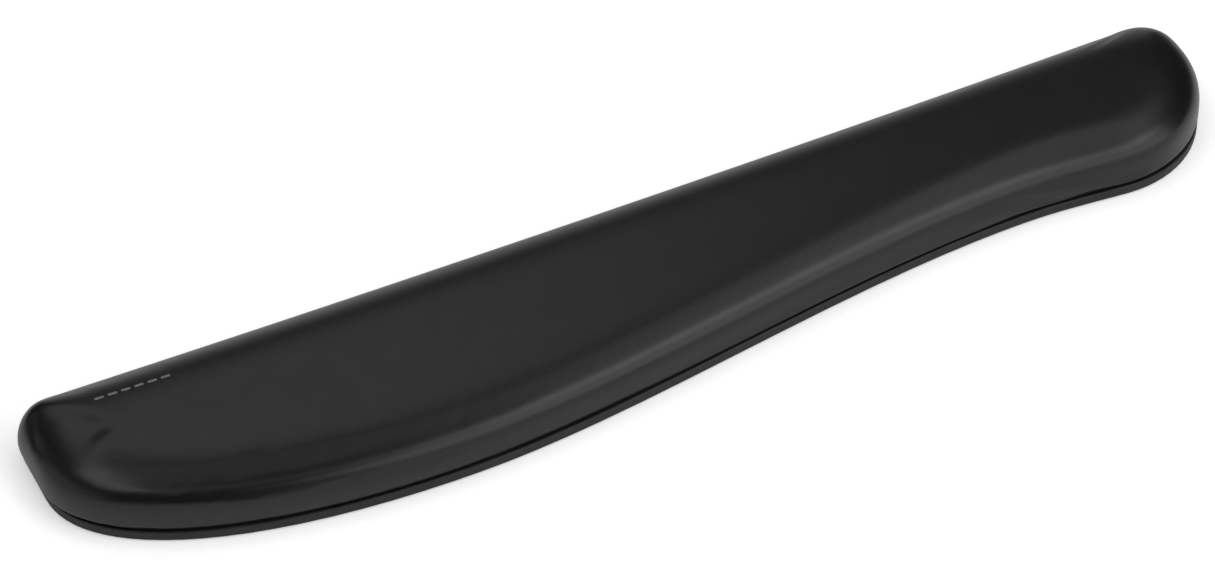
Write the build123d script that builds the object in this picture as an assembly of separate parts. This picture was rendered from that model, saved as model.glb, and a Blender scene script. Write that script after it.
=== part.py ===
"""Gel wrist rest for a full-size keyboard, as an assembly of its separate pieces.

Frame: millimetres, +Z up. The origin is on the desk, below the centre of the footprint.
+X runs along the keyboard towards its number pad, +Y points to the keyboard.

From the desk up: rubber feet on tape discs, a ribbed plastic tray, a die-cut tape sheet, and the pad.
The pad is a backing board, a foam slab, a gel pack in two welded films, and a thin leatherette skin
whose hem turns under the board.
"""

import os

from build123d import *

# Driving dimensions of the footprint.
LENGTH = 470.0  # left end to right end
DEPTH = 88.0  # back edge to the front of the palm lobe, at the left
NECK_DEPTH = 63.2  # back edge to the front of the narrow neck, right of the middle
TIP_DEPTH = 66.6  # back edge to the front of the right end, which flares a little
LEFT_CORNER = 11.0  # radius of the back left corner
RIGHT_CORNER = 16.0  # radius of the back right corner
TIP_RADIUS = 46.0  # radius of the rounded front right end
LEFT_STRAIGHT = 32.0  # depth to which the left end runs straight
LOBE_PLACE = 142.0  # distance of the lobe's deepest point from the left end
NECK_PLACE = 377.0  # distance of the neck's shallowest point from the left end
TIP_PLACE = LENGTH - TIP_RADIUS

# The front edge's control points, left to right: distance from the left end, depth from the back edge.
LOBE_CURVE = [(0.0, LEFT_STRAIGHT), (0.0, 65.4), (57.0, DEPTH), (LOBE_PLACE, DEPTH)]
WAIST_CURVE = [(LOBE_PLACE, DEPTH), (210.0, DEPTH), (298.0, NECK_DEPTH), (NECK_PLACE, NECK_DEPTH)]
FLARE_CURVE = [(NECK_PLACE, NECK_DEPTH), (398.0, NECK_DEPTH), (414.0, TIP_DEPTH), (TIP_PLACE, TIP_DEPTH)]

# Heights.
FOOT_PROUD = 0.6  # how far the feet hold the tray off the desk
TRAY_HEIGHT = 3.6
MIDDLE_HEIGHT = 21.6  # desk to the lowest point of the pad's top
TOP_DISH = 3.2  # how much higher the top is at the two ends

# Tray.
TRAY_PLATE = 1.6
TRAY_SKIRT = 1.8
TRAY_ROUND = 0.5
RIB_WIDTH = 1.2
RIB_HEIGHT = 1.2
CROSS_RIBS = 12
LONG_RIB_DEPTHS = (20.0, 46.0)  # depth of each long rib from the back edge

# Feet.
FOOT_RADIUS = 7.0
FOOT_THICKNESS = 1.4
FOOT_ROUND = 0.4
FOOT_TAPE = 0.2
BOSS_WALL = 1.4
POCKET_CLEARANCE = 0.25
FOOT_PLACES = {  # centre of each foot: distance from the left end, depth from the back edge
    "foot_back_left": (24.0, 20.0),
    "foot_back_centre": (235.0, 20.0),
    "foot_back_right": (446.0, 20.0),
    "foot_front_left": (52.0, 58.0),
    "foot_front_centre": (235.0, 60.0),
    "foot_front_right": (428.0, 47.0),
}

# Pad.
GAP = 0.05  # between neighbouring layers
PAD_INSET = 0.5  # pad wall, inside the tray's edge
EDGE_ROLL = 10.0  # radius where the pad's wall rolls into its top
FOOT_ROLL = 1.6  # radius where the skin turns under
SKIN = 0.9
HEM_WIDTH = 10.0
FILM = 0.4
TAPE_SHEET = 0.2
TAPE_INSET = 3.0
BOARD = 1.0
FOAM = 3.0

# Printed mark: a row of short rounded bars near the back left corner.
MARK_THICKNESS = 0.06
MARK_BARS = 6
MARK_BAR_LENGTH = 3.6
MARK_BAR_WIDTH = 1.2
MARK_PITCH = 5.0
MARK_START = (28.0, 17.0)  # first bar's centre: distance from the left end, depth from the back edge

# Levels, worked out from the sizes above.
TRAY_BOTTOM = FOOT_PROUD
TRAY_TOP = TRAY_BOTTOM + TRAY_HEIGHT
PLATE_BOTTOM = TRAY_TOP - TRAY_PLATE
POCKET_TOP = FOOT_THICKNESS + FOOT_TAPE + 2 * GAP
PAD_BOTTOM = TRAY_TOP + TAPE_SHEET + 2 * GAP
BOARD_BOTTOM = PAD_BOTTOM + SKIN + GAP
BOARD_TOP = BOARD_BOTTOM + BOARD
FOAM_BOTTOM = BOARD_TOP + GAP
FOAM_TOP = FOAM_BOTTOM + FOAM
LOWER_FILM_BOTTOM = FOAM_TOP + GAP
LOWER_FILM_TOP = LOWER_FILM_BOTTOM + FILM
UPPER_FILM_BOTTOM = LOWER_FILM_TOP + GAP

# How far each layer of the pad stands inside the tray's edge.
SKIN_INNER_INSET = PAD_INSET + SKIN
FILM_INSET = SKIN_INNER_INSET + GAP
FILM_INNER_INSET = FILM_INSET + FILM
GEL_INSET = FILM_INNER_INSET + GAP
BOARD_INSET = PAD_INSET + FOOT_ROLL + GAP

LEFT = -LENGTH / 2
RIGHT = LENGTH / 2
BACK = DEPTH / 2
DISH_RADIUS = (RIGHT**2 + TOP_DISH**2) / (2 * TOP_DISH)


def place(from_left, from_back):
    """A point of the footprint, from its distance to the left end and to the back edge."""
    return Vector(LEFT + from_left, BACK - from_back)


def front_curve(control_points, inset):
    """One stretch of the front edge, drawn in by moving each leg of its control polygon."""
    points = [place(*point) for point in control_points]
    ways = [(after - before).normalized() for before, after in zip(points, points[1:])]
    shifts = [Vector(-way.Y, way.X) * inset for way in ways]
    moved = [points[0] + shifts[0]]
    for corner, (shift, way), (next_shift, next_way) in zip(
        points[1:], zip(shifts, ways), zip(shifts[1:], ways[1:])
    ):
        slide = (next_shift - shift).cross(next_way).Z / way.cross(next_way).Z
        moved.append(corner + shift + way * slide)
    moved.append(points[-1] + shifts[-1])
    return Bezier(*moved)


def footprint(inset=0.0):
    """The plan outline as a face on Z = 0, drawn in by inset all round."""
    left, right, back = LEFT + inset, RIGHT - inset, BACK - inset
    front = [front_curve(points, inset) for points in (LOBE_CURVE, WAIST_CURVE, FLARE_CURVE)]
    tip_end = (right, BACK - TIP_DEPTH + TIP_RADIUS)
    right_start = (right, BACK - RIGHT_CORNER)
    right_end = (RIGHT - RIGHT_CORNER, back)
    left_start = (LEFT + LEFT_CORNER, back)
    left_end = (left, BACK - LEFT_CORNER)
    outline = [
        *front,
        RadiusArc(front[-1] @ 1, tip_end, inset - TIP_RADIUS),
        Line(tip_end, right_start),
        RadiusArc(right_start, right_end, inset - RIGHT_CORNER),
        Line(right_end, left_start),
        RadiusArc(left_start, left_end, inset - LEFT_CORNER),
        Line(left_end, front[0] @ 0),
    ]
    return make_face(Wire(outline))


def slab(inset, bottom, top):
    """A flat sheet in the plan shape between two levels."""
    return extrude(Pos(0, 0, bottom) * footprint(inset), top - bottom)


def above_top(drop=0.0):
    """The space over the pad's dished top, when that top is lowered by drop."""
    centre_height = MIDDLE_HEIGHT - drop + DISH_RADIUS
    return Pos(0, 0, centre_height) * Rot(90, 0, 0) * Cylinder(DISH_RADIUS, 2 * DEPTH)


def edges_above(body, level):
    """The edges of a body that lie wholly above a level."""
    return [edge for edge in body.edges() if edge.bounding_box().min.Z > level]


def edges_below(body, level):
    """The edges of a body that lie wholly below a level."""
    return [edge for edge in body.edges() if edge.bounding_box().max.Z < level]


def pad_block(inset, bottom, drop, roll):
    """The pad's solid shape: plan outline, dished top and a rolled top edge."""
    block = slab(inset, bottom, MIDDLE_HEIGHT + 2 * TOP_DISH) - above_top(drop)
    return fillet(edges_above(block, bottom + 1), roll)


def roll_under(block, bottom, radius):
    """Round the bottom edge of a pad block."""
    return fillet(edges_below(block, bottom + 0.1), radius)


def cover_skin():
    """Leatherette skin over the top and walls, with its hem turned under."""
    outer = roll_under(pad_block(PAD_INSET, PAD_BOTTOM, 0, EDGE_ROLL), PAD_BOTTOM, FOOT_ROLL)
    inner_bottom = PAD_BOTTOM + SKIN
    inner = pad_block(SKIN_INNER_INSET, inner_bottom, SKIN, EDGE_ROLL - SKIN)
    inner = roll_under(inner, inner_bottom, FOOT_ROLL - SKIN)
    opening = slab(PAD_INSET + HEM_WIDTH, PAD_BOTTOM - 1, inner_bottom + 1)
    return outer - inner - opening


def gel_film_upper():
    """Domed upper film of the gel pack."""
    drop = SKIN + GAP
    roll = EDGE_ROLL - drop
    outer = pad_block(FILM_INSET, UPPER_FILM_BOTTOM, drop, roll)
    inner = pad_block(FILM_INNER_INSET, UPPER_FILM_BOTTOM - 1, drop + FILM, roll - FILM)
    return outer - inner


def gel_film_lower():
    """Flat lower film, which the upper one is welded to round its rim."""
    return slab(FILM_INSET, LOWER_FILM_BOTTOM, LOWER_FILM_TOP)


def gel_core():
    """The gel that fills the two films."""
    drop = SKIN + FILM + 2 * GAP
    return pad_block(GEL_INSET, UPPER_FILM_BOTTOM, drop, EDGE_ROLL - drop)


def support_foam():
    """Firm foam slab between the gel pack and the board."""
    return slab(GEL_INSET, FOAM_BOTTOM, FOAM_TOP)


def backing_board():
    """Stiff board on the hem, with a raised field that fills the opening the hem leaves."""
    field = slab(PAD_INSET + HEM_WIDTH + GAP, PAD_BOTTOM, BOARD_BOTTOM)
    return slab(BOARD_INSET, BOARD_BOTTOM, BOARD_TOP) + field


def pad_tape():
    """Double-sided sheet that holds the pad on the tray."""
    return slab(TAPE_INSET, TRAY_TOP + GAP, PAD_BOTTOM - GAP)


def foot_cylinder(name, radius, bottom, top):
    """A disc or boss at one foot's place, between two levels."""
    centre = place(*FOOT_PLACES[name])
    return Pos(centre.X, centre.Y, (bottom + top) / 2) * Cylinder(radius, top - bottom)


def tray_ribs():
    """Cross ribs and long ribs under the tray's plate, as long boxes that run past its skirt."""
    middle = PLATE_BOTTOM - RIB_HEIGHT / 2
    pitch = LENGTH / (CROSS_RIBS + 1)
    ribs = []
    for number in range(1, CROSS_RIBS + 1):
        ribs.append(Pos(LEFT + number * pitch, 0, middle) * Box(RIB_WIDTH, DEPTH, RIB_HEIGHT))
    for depth in LONG_RIB_DEPTHS:
        ribs.append(Pos(0, BACK - depth, middle) * Box(LENGTH, RIB_WIDTH, RIB_HEIGHT))
    return ribs


def base_tray():
    """Moulded tray: plate, skirt, ribs and a pocketed boss for each foot."""
    shell = slab(0, TRAY_BOTTOM, TRAY_TOP)
    shell = fillet(edges_above(shell, TRAY_TOP - 0.1), TRAY_ROUND)
    hollow = slab(TRAY_SKIRT, TRAY_BOTTOM, PLATE_BOTTOM)
    for rib in tray_ribs():
        hollow -= rib
    for name in FOOT_PLACES:
        boss_radius = FOOT_RADIUS + POCKET_CLEARANCE + BOSS_WALL
        hollow -= foot_cylinder(name, boss_radius, TRAY_BOTTOM, PLATE_BOTTOM)
    tray = shell - hollow
    for name in FOOT_PLACES:
        tray -= foot_cylinder(name, FOOT_RADIUS + POCKET_CLEARANCE, 0, POCKET_TOP)
    return tray


def foot(name):
    """One rubber foot, rounded where it meets the desk."""
    disc = foot_cylinder(name, FOOT_RADIUS, 0, FOOT_THICKNESS)
    return fillet(edges_below(disc, 0.1), FOOT_ROUND)


def foot_tape(name):
    """The tape disc between one foot and its pocket."""
    return foot_cylinder(name, FOOT_RADIUS, FOOT_THICKNESS + GAP, POCKET_TOP - GAP)


def printed_mark():
    """A row of ink bars that follows the dished top."""
    bar = SlotOverall(MARK_BAR_LENGTH, MARK_BAR_WIDTH)
    bars = []
    for number in range(MARK_BARS):
        centre = place(MARK_START[0] + number * MARK_PITCH, MARK_START[1])
        blank = extrude(Pos(centre.X, centre.Y, MIDDLE_HEIGHT) * bar, 2 * TOP_DISH)
        sheet = blank - above_top(-MARK_THICKNESS - GAP)
        bars.append(sheet & above_top(-GAP))
    return bars


def model():
    """Every piece of the wrist rest, by node name."""
    pieces = {
        "cover_skin": cover_skin(),
        "printed_mark": Compound(children=printed_mark()),
        "gel_film_upper": gel_film_upper(),
        "gel_core": gel_core(),
        "gel_film_lower": gel_film_lower(),
        "support_foam": support_foam(),
        "backing_board": backing_board(),
        "pad_tape": pad_tape(),
        "base_tray": base_tray(),
        "foot_tapes": Compound(children=[foot_tape(name) for name in FOOT_PLACES]),
    }
    for name in FOOT_PLACES:
        pieces[name] = foot(name)
    return pieces


os.makedirs("parts", exist_ok=True)
for node, piece in model().items():
    export_step(piece, f"parts/{node}.step")
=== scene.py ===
"""Looks of a gel wrist rest for a keyboard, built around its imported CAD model.

Everything is in metres, in the CAD frame: +X to the number pad, +Y to the keyboard, +Z up.
The leatherette cover, the gel pack and the printed mark are modelled here. The tray, feet, board, foam
and tapes are the CAD nodes, with materials from here.
"""

import math

import bpy
import numpy as np
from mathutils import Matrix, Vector
from mathutils.bvhtree import BVHTree


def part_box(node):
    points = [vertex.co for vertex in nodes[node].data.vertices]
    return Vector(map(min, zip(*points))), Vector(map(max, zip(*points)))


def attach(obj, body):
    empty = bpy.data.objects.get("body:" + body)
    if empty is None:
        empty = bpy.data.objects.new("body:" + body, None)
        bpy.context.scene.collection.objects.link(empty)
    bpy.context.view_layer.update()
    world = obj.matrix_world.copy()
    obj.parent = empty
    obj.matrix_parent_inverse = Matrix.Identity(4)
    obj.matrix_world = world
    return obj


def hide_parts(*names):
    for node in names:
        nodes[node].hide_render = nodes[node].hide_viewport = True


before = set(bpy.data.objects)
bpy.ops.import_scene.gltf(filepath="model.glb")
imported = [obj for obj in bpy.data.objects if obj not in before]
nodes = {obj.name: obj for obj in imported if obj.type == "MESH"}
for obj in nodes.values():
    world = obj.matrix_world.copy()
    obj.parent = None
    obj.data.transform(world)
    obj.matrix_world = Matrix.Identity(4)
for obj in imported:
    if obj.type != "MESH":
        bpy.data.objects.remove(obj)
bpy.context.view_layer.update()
MM = 0.001

# The footprint, from the tray's box, and the shape of its edge.
TRAY_LOW, TRAY_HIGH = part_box("base_tray")
LENGTH = TRAY_HIGH.x - TRAY_LOW.x
DEPTH = TRAY_HIGH.y - TRAY_LOW.y
NECK_DEPTH = 63.2 * MM
TIP_DEPTH = 66.6 * MM
LEFT_CORNER = 11 * MM
RIGHT_CORNER = 16 * MM
TIP_RADIUS = 46 * MM
LEFT_STRAIGHT = 32 * MM
LOBE_PLACE = 142 * MM
NECK_PLACE = 377 * MM
LOBE_HANDLES = (65.4 * MM, 57 * MM)  # depth of the first curve's start handle, place of its end handle
WAIST_HANDLES = (210 * MM, 298 * MM)  # places of the second curve's handles
FLARE_HANDLES = (398 * MM, 414 * MM)  # places of the third curve's handles
CURVE_POINTS = 400  # samples of each stretch of the dense outline
LOOP_POINTS = 4000  # samples of the whole outline, evenly spaced
OUTLINE_BLUR = 3 * MM  # softening of the pad's outline, where arcs meet straights

# Heights of the pad, before the simulation swells it.
PAD_LOW, PAD_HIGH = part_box("cover_skin")
PAD_BOTTOM = PAD_LOW.z
WALL_WIDEST = PAD_BOTTOM + 3.1 * MM
MIDDLE_HEIGHT = PAD_HIGH.z - 2.3 * MM
LEFT_DISH = 3.7 * MM
RIGHT_DISH = 3.0 * MM

# The pad's edge, one value for each side it faces: left, right, front, back.
EDGE_INSETS = (-1.6 * MM, -0.4 * MM, 0.3 * MM, 0.5 * MM)  # widest line, inside the tray's edge
EDGE_POWERS = (2.3, 3.4, 4.2, 3.45)  # squareness of the rolled edge
EDGE_WIDTH = 32 * MM
FOOT_INSET = 1.5 * MM
FELT_FROM = 2 * MM  # depth from which the whole edge shapes the top
NEAREST = 0.1 * MM  # keeps that sum finite on the edge itself
PULL_POWER = 8
STRAIGHT_PULL = 5 * math.pi / 16  # the pull of an endless straight edge at a depth of one

# Mesh density of the soft pieces.
LONG_STEPS = 240  # along the front and along the back
SHORT_STEPS = 34  # along each end
SHOULDER = 8 * MM
SHOULDER_RINGS = 20
FOOT_RINGS = 6

# Thicknesses and gaps of the soft layers.
SKIN = 0.8 * MM
FILM = 0.3 * MM
GAP = 0.15 * MM
HEM_INSETS = (9.5 * MM, 6 * MM, 3 * MM)

# The swelling simulation.
PRESSURE = 4.0
SWELL_FRAMES = 20
SWELL_CAP = 0.4 * MM

# The printed mark.
BARS = 6
BAR_LENGTH = 3.6 * MM
BAR_WIDTH = 1.2 * MM
BAR_STATIONS = 15
BAR_ROWS = 5
BAR_REACH = 0.95  # share of the bar's half length, as an angle, that keeps its ends from closing to a point
INK = 0.06 * MM


def bezier(points):
    """Samples of a cubic curve."""
    t = np.linspace(0, 1, CURVE_POINTS, endpoint=False)[:, None]
    a, b, c, d = [np.array(point, float) for point in points]
    return (1 - t) ** 3 * a + 3 * (1 - t) ** 2 * t * b + 3 * (1 - t) * t**2 * c + t**3 * d


def arc(centre, radius, start, end):
    """Samples of an arc, with its angles in degrees from +X."""
    t = np.radians(np.linspace(start, end, CURVE_POINTS, endpoint=False))
    return np.array(centre) + radius * np.column_stack([np.cos(t), np.sin(t)])


def line(start, end):
    """Samples of a straight stretch."""
    t = np.linspace(0, 1, CURVE_POINTS, endpoint=False)[:, None]
    return (1 - t) * np.array(start) + t * np.array(end)


def tray_outline():
    """The footprint as a dense loop, counter-clockwise from the left end."""
    front, neck_front, tip_front = -DEPTH, -NECK_DEPTH, -TIP_DEPTH
    lobe = (LOBE_PLACE, front)
    neck = (NECK_PLACE, neck_front)
    tip = (LENGTH - TIP_RADIUS, tip_front)
    stretches = [
        bezier([(0, -LEFT_STRAIGHT), (0, -LOBE_HANDLES[0]), (LOBE_HANDLES[1], front), lobe]),
        bezier([lobe, (WAIST_HANDLES[0], front), (WAIST_HANDLES[1], neck_front), neck]),
        bezier([neck, (FLARE_HANDLES[0], neck_front), (FLARE_HANDLES[1], tip_front), tip]),
        arc((tip[0], tip_front + TIP_RADIUS), TIP_RADIUS, -90, 0),
        line((LENGTH, tip_front + TIP_RADIUS), (LENGTH, -RIGHT_CORNER)),
        arc((LENGTH - RIGHT_CORNER, -RIGHT_CORNER), RIGHT_CORNER, 0, 90),
        line((LENGTH - RIGHT_CORNER, 0), (LEFT_CORNER, 0)),
        arc((LEFT_CORNER, -LEFT_CORNER), LEFT_CORNER, 90, 180),
        line((0, -LEFT_CORNER), (0, -LEFT_STRAIGHT)),
    ]
    return np.vstack(stretches) + (TRAY_LOW.x, TRAY_HIGH.y)


def even_loop(points, count):
    """A closed loop resampled at even distances."""
    closed = np.vstack([points, points[:1]])
    walked = np.concatenate([[0], np.cumsum(np.linalg.norm(np.diff(closed, axis=0), axis=1))])
    at = np.linspace(0, walked[-1], count, endpoint=False)
    return np.column_stack([np.interp(at, walked, closed[:, axis]) for axis in (0, 1)])


def blurred_loop(values, spread):
    """Values along a closed loop, smoothed over spread samples."""
    reach = np.minimum(np.arange(len(values)), len(values) - np.arange(len(values)))
    kernel = np.exp(-0.5 * (reach / spread) ** 2)
    kernel /= kernel.sum()
    spectrum = np.fft.fft(values, axis=0) * np.fft.fft(kernel)[:, None]
    return np.fft.ifft(spectrum, axis=0).real


def outward_normals(loop):
    """Unit normals of a counter-clockwise loop, pointing out."""
    along = np.roll(loop, -1, axis=0) - np.roll(loop, 1, axis=0)
    along /= np.linalg.norm(along, axis=1)[:, None]
    return np.column_stack([along[:, 1], -along[:, 0]])


def side_starts(normals):
    """Where the front, right, back and left sides start: the four points that face diagonally."""
    angle = np.degrees(np.arctan2(normals[:, 1], normals[:, 0]))
    return [int(np.argmin(np.abs((angle - facing + 180) % 360 - 180))) for facing in (-135, -45, 45, 135)]


def pad_loop():
    """The tray's edge with its normals, split evenly along each of its four sides."""
    loop = even_loop(tray_outline(), LOOP_POINTS)
    loop = blurred_loop(loop, OUTLINE_BLUR / np.linalg.norm(loop[1] - loop[0]))
    normals = outward_normals(loop)
    starts = side_starts(normals)
    steps = [LONG_STEPS, SHORT_STEPS, LONG_STEPS, SHORT_STEPS]
    places = []
    for start, end, number in zip(starts, starts[1:] + starts[:1], steps):
        places.append(start + (end - start) % LOOP_POINTS * np.arange(number) / number)
    places = np.concatenate(places)
    low = np.floor(places).astype(int)
    part = (places - low)[:, None]
    low %= LOOP_POINTS
    high = (low + 1) % LOOP_POINTS
    points = (1 - part) * loop[low] + part * loop[high]
    facing = (1 - part) * normals[low] + part * normals[high]
    return points, facing / np.linalg.norm(facing, axis=1)[:, None]


def by_side(facing, values):
    """A value for each outline point, blended between the sides it faces."""
    left, right, front, back = values
    x, y = facing[:, 0], facing[:, 1]
    return x**2 * np.where(x > 0, right, left) + y**2 * np.where(y > 0, back, front)


def top_height(x):
    """Height of the dished top."""
    dish = np.where(x > 0, RIGHT_DISH, LEFT_DISH)
    return MIDDLE_HEIGHT + dish * (2 * x / LENGTH) ** 2


def patch(sides):
    """A Coons patch that fills a loop, from its four sides. Each holds its own start but not its end."""
    front, right, back, left = sides
    bottom = np.vstack([front, right[:1]])
    east = np.vstack([right, back[:1]])
    top = np.vstack([back, left[:1]])[::-1]
    west = np.vstack([left, front[:1]])[::-1]
    u = np.linspace(0, 1, len(bottom))[None, :, None]
    v = np.linspace(0, 1, len(east))[:, None, None]
    ruled_v = (1 - v) * bottom[None] + v * top[None]
    ruled_u = (1 - u) * west[:, None] + u * east[:, None]
    corners = (1 - u) * (1 - v) * bottom[0] + u * (1 - v) * bottom[-1]
    corners = corners + (1 - u) * v * top[0] + u * v * top[-1]
    return ruled_v + ruled_u - corners


class PadShape:
    """One layer of the pad: rings up its wall and over its shoulder, and a patch across its top."""

    def __init__(self, inset, drop, bottom):
        self.loop, self.facing = pad_loop()
        self.inset = inset
        self.edge = inset + by_side(self.facing, EDGE_INSETS)
        self.power = by_side(self.facing, EDGE_POWERS)
        self.drop = drop
        self.bottom = bottom
        self.start = self.depth_at(bottom)

    def ring(self, inset, height):
        """One closed ring of points, inset from the tray's edge."""
        plan = self.loop - self.facing * np.broadcast_to(inset, len(self.loop))[:, None]
        return np.column_stack([plan, np.broadcast_to(height, len(plan))])

    def depth_at(self, height):
        """How far inside the widest line the rounded edge reaches a height, at each outline point."""
        rise = top_height(self.loop[:, 0]) - self.drop - WALL_WIDEST
        share = np.clip((height - WALL_WIDEST) / rise, 0, 1)
        return EDGE_WIDTH * (1 - (1 - share**self.power) ** (1 / self.power))

    def surface(self, x, depth, power):
        """Height of the rounded top at points a given depth inside the pad's widest line."""
        rest = np.clip(1 - depth / EDGE_WIDTH, 0, 1)
        share = (1 - rest**power) ** (1 / power)
        return WALL_WIDEST + (top_height(x) - self.drop - WALL_WIDEST) * share

    def felt(self, plan):
        """Depth and squareness at points of the top, summed over the whole edge so that no crease is left."""
        edge = self.loop - self.facing * self.edge[:, None]
        steps = np.linalg.norm(np.roll(edge, -1, axis=0) - np.roll(edge, 1, axis=0), axis=1) / 2
        away = np.maximum(np.linalg.norm(plan[..., None, :] - edge, axis=-1), NEAREST)
        pull = steps / away**PULL_POWER
        depth = (pull.sum(axis=-1) / STRAIGHT_PULL) ** (1 / (1 - PULL_POWER))
        return depth, (pull * self.power).sum(axis=-1) / pull.sum(axis=-1)

    def wall_rings(self):
        """Rings from the bottom edge up to just below the widest line."""
        foot = self.inset + FOOT_INSET
        rings = []
        for step in range(FOOT_RINGS):
            turn = math.pi / 2 * step / FOOT_RINGS
            inset = foot + (self.edge - foot) * math.sin(turn)
            rings.append(self.ring(inset, WALL_WIDEST - (WALL_WIDEST - self.bottom) * math.cos(turn)))
        return rings

    def shoulder_rings(self):
        """Rings over the shoulder, closest together where it is steepest."""
        rings = []
        for step in range(SHOULDER_RINGS + 1):
            depth = self.start + (SHOULDER - self.start) * (step / SHOULDER_RINGS) ** 2
            ring = self.ring(self.edge + depth, 0)
            felt_depth, felt_power = self.felt(ring[:, :2])
            share = np.clip((depth - FELT_FROM) / (SHOULDER - FELT_FROM), 0, 1)
            share = share * share * (3 - 2 * share)
            depth = depth + (felt_depth - depth) * share
            power = self.power + (felt_power - self.power) * share
            ring[:, 2] = self.surface(ring[:, 0], depth, power)
            rings.append(ring)
        return rings

    def flat_patch(self, ring):
        """A grid of points that fills a ring at the ring's own height."""
        counts = np.cumsum([LONG_STEPS, SHORT_STEPS, LONG_STEPS])
        return patch(np.split(ring, counts))

    def top_patch(self, ring):
        """A grid of points on the rounded top, inside the last ring of the shoulder."""
        grid = self.flat_patch(ring)
        depth, power = self.felt(grid[:, :, :2])
        grid[:, :, 2] = self.surface(grid[:, :, 0], depth, power)
        return grid


def ring_faces(first, second, count):
    """Quads between two rings, from the indices of their first points."""
    faces = []
    for number in range(count):
        after = (number + 1) % count
        faces.append((first + number, first + after, second + after, second + number))
    return faces


def patch_faces(rim, start, count):
    """Quads of a patch. Its border is a ring that starts at rim, and its inner points start at start."""
    columns, rows = LONG_STEPS, SHORT_STEPS

    def index(row, column):
        if row == 0:
            return rim + column
        if column == columns:
            return rim + (columns + row) % count
        if row == rows:
            return rim + (2 * columns + rows - column) % count
        if column == 0:
            return rim + (count - row) % count
        return start + (row - 1) * (columns - 1) + column - 1

    faces = []
    for row in range(rows):
        for column in range(columns):
            corners = [(row, column), (row, column + 1), (row + 1, column + 1), (row + 1, column)]
            faces.append(tuple(index(*corner) for corner in corners))
    return faces


def layer_mesh(name, shape, hem=(), floor=False):
    """A mesh of one pad layer. hem holds insets of rings turned under it, and floor closes its bottom."""
    rings = [shape.ring(shape.inset + inset, shape.bottom) for inset in hem]
    rings += shape.wall_rings() if shape.bottom < WALL_WIDEST else []
    rings += shape.shoulder_rings()
    count = len(shape.loop)
    faces = []
    for number in range(len(rings) - 1):
        faces += ring_faces(number * count, (number + 1) * count, count)
    top = shape.top_patch(rings[-1])[1:-1, 1:-1].reshape(-1, 3)
    start = len(rings) * count
    faces += patch_faces(start - count, start, count)
    points = rings + [top]
    if floor:
        points.append(shape.flat_patch(rings[0])[1:-1, 1:-1].reshape(-1, 3))
        faces += [face[::-1] for face in patch_faces(0, start + len(top), count)]
    mesh = bpy.data.meshes.new(name)
    mesh.from_pydata(np.vstack(points).tolist(), [], faces)
    mesh.validate()
    return mesh


def add_piece(name, mesh, material):
    """Put a mesh in the scene as a smooth piece of the object."""
    piece = bpy.data.objects.new(name, mesh)
    bpy.context.scene.collection.objects.link(piece)
    mesh.materials.append(material)
    mesh.shade_smooth()
    return piece


def apply_modifiers(piece):
    """Bake a piece's modifiers into its mesh."""
    bpy.context.view_layer.update()
    evaluated = piece.evaluated_get(bpy.context.evaluated_depsgraph_get())
    mesh = bpy.data.meshes.new_from_object(evaluated)
    piece.modifiers.clear()
    piece.data = mesh


def thicken(piece, thickness):
    """Turn an outer surface into a closed shell, inwards."""
    solidify = piece.modifiers.new("thickness", "SOLIDIFY")
    solidify.thickness = thickness
    solidify.offset = -1
    apply_modifiers(piece)


def swell(piece, pinned):
    """Swell a skin with a short pressure simulation, in which no point moves further than SWELL_CAP."""
    start = np.array([vertex.co for vertex in piece.data.vertices])
    piece.vertex_groups.new(name="pinned").add(pinned, 1, "REPLACE")
    cloth = piece.modifiers.new("cloth", "CLOTH")
    cloth.point_cache.frame_end = SWELL_FRAMES
    cloth.settings.vertex_group_mass = "pinned"
    cloth.settings.use_pressure = True
    cloth.settings.uniform_pressure_force = PRESSURE
    cloth.settings.effector_weights.gravity = 0
    for number in range(1, SWELL_FRAMES + 1):
        bpy.context.scene.frame_set(number)
    apply_modifiers(piece)
    move = np.array([vertex.co for vertex in piece.data.vertices]) - start
    length = np.linalg.norm(move, axis=1)[:, None]
    move *= SWELL_CAP * np.tanh(length / SWELL_CAP) / np.maximum(length, SWELL_CAP / 1000)
    piece.data.vertices.foreach_set("co", (start + move).ravel())
    piece.data.update()


def seat(piece, node):
    """Put a finished piece in place of its CAD node."""
    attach(piece, "root")
    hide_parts(node)


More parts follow.
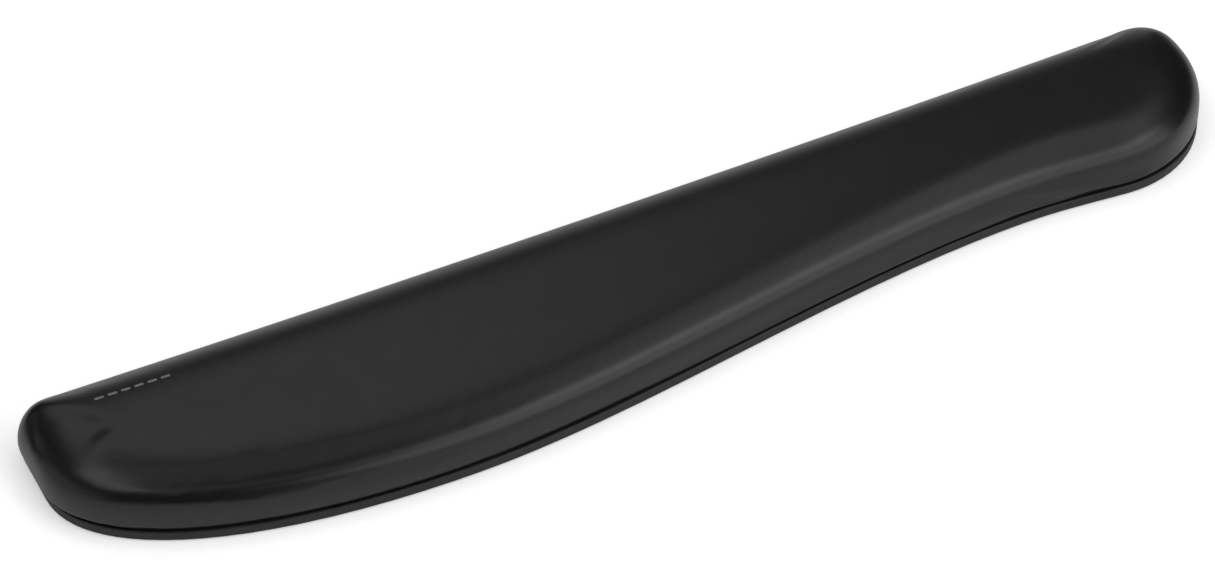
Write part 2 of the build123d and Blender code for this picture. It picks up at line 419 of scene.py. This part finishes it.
class Surface:
    """A material under construction. Its texture lies in object space, so it has its true size in metres."""

    def __init__(self, name):
        self.material = bpy.data.materials.new(name)
        self.material.use_nodes = True
        self.tree = self.material.node_tree
        self.shader = self.tree.nodes["Principled BSDF"]
        self.place = self.tree.nodes.new("ShaderNodeTexCoord").outputs["Object"]
        self.relief = None

    def node(self, kind, inputs):
        """A new node. Its inputs are plain values or the outputs of other nodes."""
        node = self.tree.nodes.new(kind)
        for name, value in inputs.items():
            if isinstance(value, bpy.types.NodeSocket):
                self.tree.links.new(value, node.inputs[name])
            else:
                node.inputs[name].default_value = value
        return node

    def noise(self, size, detail=2):
        """Soft noise whose blots are about size across."""
        inputs = {"Vector": self.place, "Scale": 1 / size, "Detail": detail}
        return self.node("ShaderNodeTexNoise", inputs).outputs["Fac"]

    def pebbles(self, size):
        """Rounded cells about size across, highest in their middles."""
        node = self.node("ShaderNodeTexVoronoi", {"Vector": self.place, "Scale": 1 / size})
        node.feature = "SMOOTH_F1"
        return self.span(node.outputs["Distance"], 0, 1, 1, 0)

    def fibres(self, size, stretch):
        """Noise drawn out along X into fibres about size thick."""
        inputs = {"Vector": self.place, "Scale": (1 / stretch, 1, 1)}
        stretched = self.node("ShaderNodeMapping", inputs).outputs["Vector"]
        inputs = {"Vector": stretched, "Scale": 1 / size, "Detail": 3}
        return self.node("ShaderNodeTexNoise", inputs).outputs["Fac"]

    def edges(self):
        """One along outer edges, where hands and desks rub, and zero elsewhere."""
        pointiness = self.tree.nodes.new("ShaderNodeNewGeometry").outputs["Pointiness"]
        return self.span(pointiness, 0.52, 0.6, 0, 1)

    def span(self, value, from_low, from_high, low, high):
        """A value moved from one range to another, and held inside it."""
        inputs = {"Value": value, "From Min": from_low, "From Max": from_high, "To Min": low, "To Max": high}
        return self.node("ShaderNodeMapRange", inputs).outputs["Result"]

    def mixed(self, share, first, second):
        """A colour between two others."""
        inputs = {"Fac": share, "Color1": first, "Color2": second}
        return self.node("ShaderNodeMixRGB", inputs).outputs["Color"]

    def tone(self, pattern, dark, light, worn):
        """Base colour: varies with a pattern, and shows a worn tone along the edges."""
        body = self.mixed(self.span(pattern, 0.3, 0.7, 0, 1), dark, light)
        self.tree.links.new(self.mixed(self.edges(), body, worn), self.shader.inputs["Base Color"])

    def gloss(self, pattern, low, high):
        """Roughness that varies with a pattern."""
        self.tree.links.new(self.span(pattern, 0.3, 0.7, low, high), self.shader.inputs["Roughness"])

    def bump(self, pattern, depth):
        """Relief of a given depth, on top of any earlier relief."""
        inputs = {"Height": pattern, "Distance": depth}
        if self.relief:
            inputs["Normal"] = self.relief
        self.relief = self.node("ShaderNodeBump", inputs).outputs["Normal"]
        self.tree.links.new(self.relief, self.shader.inputs["Normal"])

    def set(self, name, value):
        """One plain input of the shader."""
        self.shader.inputs[name].default_value = value


def grey(value, warmth=0.0):
    """A neutral colour, or a slightly warm one."""
    return (value * (1 + warmth), value, value * (1 - warmth), 1)


def leatherette():
    """Satin black leatherette with a very fine pebble grain, a little uneven in sheen."""
    surface = Surface("leatherette")
    surface.tone(surface.noise(2 * MM, 5), grey(0.004), grey(0.006), grey(0.009))
    surface.gloss(surface.noise(9 * MM, 5), 0.285, 0.315)
    surface.bump(surface.pebbles(0.45 * MM), 0.010 * MM)
    surface.bump(surface.noise(0.14 * MM), 0.003 * MM)
    surface.set("Sheen Weight", 0.01)
    surface.set("Sheen Roughness", 0.4)
    return surface.material


def tray_plastic():
    """Matt black moulding with a spark-eroded texture, and edges polished by handling."""
    surface = Surface("tray_plastic")
    surface.tone(surface.noise(12 * MM, 4), grey(0.008), grey(0.013), grey(0.022))
    surface.gloss(surface.noise(2 * MM, 4), 0.42, 0.56)
    surface.bump(surface.noise(0.35 * MM, 4), 0.02 * MM)
    return surface.material


def foot_rubber():
    """Dark grey rubber, dusty and slightly rough."""
    surface = Surface("foot_rubber")
    surface.tone(surface.noise(1.2 * MM, 6), grey(0.014), grey(0.034, 0.05), grey(0.05, 0.05))
    surface.gloss(surface.noise(3 * MM, 3), 0.65, 0.85)
    surface.bump(surface.noise(0.5 * MM, 4), 0.04 * MM)
    return surface.material


def support_foam():
    """Open-celled grey foam."""
    surface = Surface("foam")
    surface.tone(surface.pebbles(0.8 * MM), grey(0.22, 0.04), grey(0.42, 0.04), grey(0.48, 0.04))
    surface.gloss(surface.noise(2 * MM), 0.85, 0.98)
    surface.bump(surface.pebbles(0.8 * MM), 0.25 * MM)
    return surface.material


def gel_film():
    """Clear polyurethane film, slightly hazy and rippled."""
    surface = Surface("gel_film")
    dark, light, worn = (0.70, 0.76, 0.80, 1), (0.80, 0.85, 0.88, 1), (0.9, 0.92, 0.94, 1)
    surface.tone(surface.noise(20 * MM), dark, light, worn)
    surface.gloss(surface.noise(1 * MM, 4), 0.12, 0.26)
    surface.bump(surface.noise(7 * MM, 2), 0.06 * MM)
    surface.set("Transmission Weight", 0.85)
    surface.set("IOR", 1.49)
    return surface.material


def gel():
    """Soft translucent blue-grey gel with fine bubbles."""
    surface = Surface("gel")
    surface.tone(surface.noise(25 * MM), (0.10, 0.20, 0.30, 1), (0.16, 0.28, 0.40, 1), (0.3, 0.4, 0.5, 1))
    surface.gloss(surface.noise(3 * MM), 0.08, 0.18)
    surface.bump(surface.pebbles(2.5 * MM), 0.03 * MM)
    surface.set("Transmission Weight", 0.6)
    surface.set("Subsurface Weight", 0.3)
    surface.set("IOR", 1.41)
    return surface.material


def backing_board():
    """Grey fibre board."""
    surface = Surface("board")
    surface.tone(surface.fibres(0.3 * MM, 6), grey(0.16, 0.12), grey(0.30, 0.12), grey(0.36, 0.12))
    surface.gloss(surface.noise(1.5 * MM, 3), 0.8, 0.95)
    surface.bump(surface.fibres(0.3 * MM, 6), 0.03 * MM)
    return surface.material


def tissue_tape():
    """Pale double-sided tape on a tissue carrier."""
    surface = Surface("tape")
    surface.tone(surface.fibres(0.15 * MM, 12), grey(0.52, 0.06), grey(0.66, 0.06), grey(0.72, 0.04))
    surface.gloss(surface.noise(2 * MM, 3), 0.4, 0.6)
    surface.bump(surface.fibres(0.15 * MM, 12), 0.01 * MM)
    return surface.material


def mark_ink():
    """Thin grey screen-printed ink, with pinholes where the grain shows through."""
    surface = Surface("mark_ink")
    surface.tone(surface.noise(0.25 * MM, 4), grey(0.10), grey(0.19), grey(0.14))
    surface.gloss(surface.noise(0.3 * MM), 0.35, 0.5)
    surface.bump(surface.pebbles(0.45 * MM), 0.006 * MM)
    return surface.material


def build_cover(material):
    """The leatherette cover: a thin shell with its hem turned under."""
    shape = PadShape(0, 0, PAD_BOTTOM)
    cover = add_piece("cover", layer_mesh("cover", shape, hem=HEM_INSETS), material)
    swell(cover, list(range((len(HEM_INSETS) + 2) * len(shape.loop))))
    thicken(cover, SKIN)
    seat(cover, "cover_skin")
    return cover


def build_film(material):
    """The domed upper film of the gel pack."""
    inset = SKIN + GAP
    shape = PadShape(inset, inset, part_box("gel_film_upper")[0].z)
    film = add_piece("gel_film", layer_mesh("gel_film", shape), material)
    thicken(film, FILM)
    seat(film, "gel_film_upper")


def build_gel(material):
    """The gel that fills the film."""
    inset = SKIN + FILM + 2 * GAP
    shape = PadShape(inset, inset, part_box("gel_core")[0].z)
    gel = add_piece("gel", layer_mesh("gel", shape, floor=True), material)
    seat(gel, "gel_core")


def bar_mesh(centre, surface):
    """Points and faces of one ink bar laid on the cover."""
    half_length, half_width = BAR_LENGTH / 2, BAR_WIDTH / 2
    points, faces = [], []
    for along in np.sin(np.linspace(-BAR_REACH, BAR_REACH, BAR_STATIONS) * math.pi / 2) * half_length:
        past = max(0, abs(along) - half_length + half_width)
        reach = math.sqrt(half_width**2 - past**2)
        for across in np.linspace(-reach, reach, BAR_ROWS):
            start = Vector((centre.x + along, centre.y + across, 1))
            hit, normal, _, _ = surface.ray_cast(start, Vector((0, 0, -1)))
            points.append(hit + normal * 1.5 * INK)
    for station in range(BAR_STATIONS - 1):
        for row in range(BAR_ROWS - 1):
            first = station * BAR_ROWS + row
            faces.append((first, first + BAR_ROWS, first + BAR_ROWS + 1, first + 1))
    return points, faces


def build_mark(material, cover):
    """The printed row of ink bars, laid on the cover."""
    surface = BVHTree.FromPolygons(
        [vertex.co for vertex in cover.data.vertices], [tuple(face.vertices) for face in cover.data.polygons]
    )
    low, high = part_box("printed_mark")
    pitch = (high.x - low.x - BAR_LENGTH) / (BARS - 1)
    points, faces = [], []
    for number in range(BARS):
        centre = Vector((low.x + BAR_LENGTH / 2 + number * pitch, (low.y + high.y) / 2))
        bar_points, bar_faces = bar_mesh(centre, surface)
        faces += [tuple(len(points) + index for index in face) for face in bar_faces]
        points += bar_points
    mesh = bpy.data.meshes.new("mark")
    mesh.from_pydata(points, [], faces)
    mark = add_piece("mark", mesh, material)
    thicken(mark, INK)
    seat(mark, "printed_mark")


def dress(node, material):
    """Give a CAD node its material."""
    nodes[node].data.materials.clear()
    nodes[node].data.materials.append(material)


def direction(azimuth, elevation):
    """A unit vector from its angle from +Y towards +X and its angle above the desk, in degrees."""
    azimuth, elevation = math.radians(azimuth), math.radians(elevation)
    level = math.cos(elevation)
    return Vector((math.sin(azimuth) * level, math.cos(azimuth) * level, math.sin(elevation)))


# Camera: the way it looks, its distance from its target, and its lens and shift.
CAMERA_AZIMUTH = 26.7
CAMERA_ELEVATION = -44.28
CAMERA_DISTANCE = 1.645
CAMERA_TARGET = (0, 4 * MM, TRAY_LOW.z)
CAMERA_LENS = 133.34
CAMERA_SHIFT = (-0.0404, 0.0177)


def add_camera():
    """Camera high at the front left, looking along the rest to its right end."""
    forward = direction(CAMERA_AZIMUTH, CAMERA_ELEVATION)
    data = bpy.data.cameras.new("camera")
    data.lens = CAMERA_LENS
    data.shift_x, data.shift_y = CAMERA_SHIFT
    camera = bpy.data.objects.new("camera", data)
    camera.location = Vector(CAMERA_TARGET) - forward * CAMERA_DISTANCE
    camera.rotation_euler = forward.to_track_quat("-Z", "Y").to_euler()
    bpy.context.scene.collection.objects.link(camera)
    bpy.context.scene.camera = camera


# Softboxes round the rest: azimuth and elevation of each, how wide and tall it looks, and its brightness.
LIGHT_DISTANCE = 2.5
SOFTBOXES = {
    "backdrop": (20, 12, 44, 24, 0.4),
    "back_high": (-3, 49, 44, 14, 0.78),
    "right_front": (148, 24, 58, 42, 1.15),
    "right_front_high": (130, 52, 40, 16, 1.4),
    "right_high": (92, 61, 56, 16, 0.9),
    "top": (0, 80, 40, 30, 0.3),
    "left_high": (-82, 58, 50, 24, 1.1),
    "left_low": (-80, 12, 70, 26, 0.35),
    "front_high": (-160, 62, 50, 14, 0.3),
}
FLOOR_FILL = (0, 89, 62, 62, 0.65)  # lights the floor, and stays out of reflections

FLOOR_HALF = 6
FLOOR_GLOW = 0.35


def add_softbox(name, azimuth, elevation, wide, tall, brightness):
    """One rectangular soft light that faces the rest."""
    toward = direction(azimuth, elevation)
    data = bpy.data.lights.new(name, "AREA")
    data.shape = "RECTANGLE"
    data.size = 2 * LIGHT_DISTANCE * math.tan(math.radians(wide) / 2)
    data.size_y = 2 * LIGHT_DISTANCE * math.tan(math.radians(tall) / 2)
    data.energy = 4 * data.size * data.size_y * brightness
    light = bpy.data.objects.new(name, data)
    light.location = toward * LIGHT_DISTANCE
    light.rotation_euler = (-toward).to_track_quat("-Z", "Y").to_euler()
    bpy.context.scene.collection.objects.link(light)
    return light


def add_floor():
    """A plain pale floor. It shines a little towards the camera only, so it looks near white."""
    mesh = bpy.data.meshes.new("floor")
    half = FLOOR_HALF
    corners = [(-half, -half, 0), (half, -half, 0), (half, half, 0), (-half, half, 0)]
    mesh.from_pydata(corners, [], [(0, 1, 2, 3)])
    floor = bpy.data.objects.new("floor", mesh)
    bpy.context.scene.collection.objects.link(floor)
    surface = Surface("floor")
    surface.set("Base Color", (0.9, 0.9, 0.9, 1))
    surface.set("Roughness", 0.8)
    surface.set("Specular IOR Level", 0.1)
    surface.set("Emission Color", (1, 1, 1, 1))
    seen = surface.tree.nodes.new("ShaderNodeLightPath").outputs["Is Camera Ray"]
    glow = surface.span(seen, 0, 1, 0, FLOOR_GLOW)
    surface.tree.links.new(glow, surface.shader.inputs["Emission Strength"])
    mesh.materials.append(surface.material)


def add_world():
    """Dim even surroundings."""
    world = bpy.data.worlds.new("world")
    bpy.context.scene.world = world
    world.use_nodes = True
    world.node_tree.nodes["Background"].inputs["Color"].default_value = (0.02, 0.02, 0.02, 1)


cover = build_cover(leatherette())
film_material = gel_film()
build_film(film_material)
build_gel(gel())
build_mark(mark_ink(), cover)
dress("gel_film_lower", film_material)
dress("support_foam", support_foam())
dress("backing_board", backing_board())
tape_material = tissue_tape()
dress("pad_tape", tape_material)
dress("foot_tapes", tape_material)
dress("base_tray", tray_plastic())
rubber = foot_rubber()
for name in nodes:
    if name.startswith(("foot_back", "foot_front")):
        dress(name, rubber)
add_camera()
add_floor()
add_world()
for name, values in SOFTBOXES.items():
    add_softbox(name, *values)
add_softbox("floor_fill", *FLOOR_FILL).visible_glossy = False
bpy.context.scene.view_settings.view_transform = "Standard"
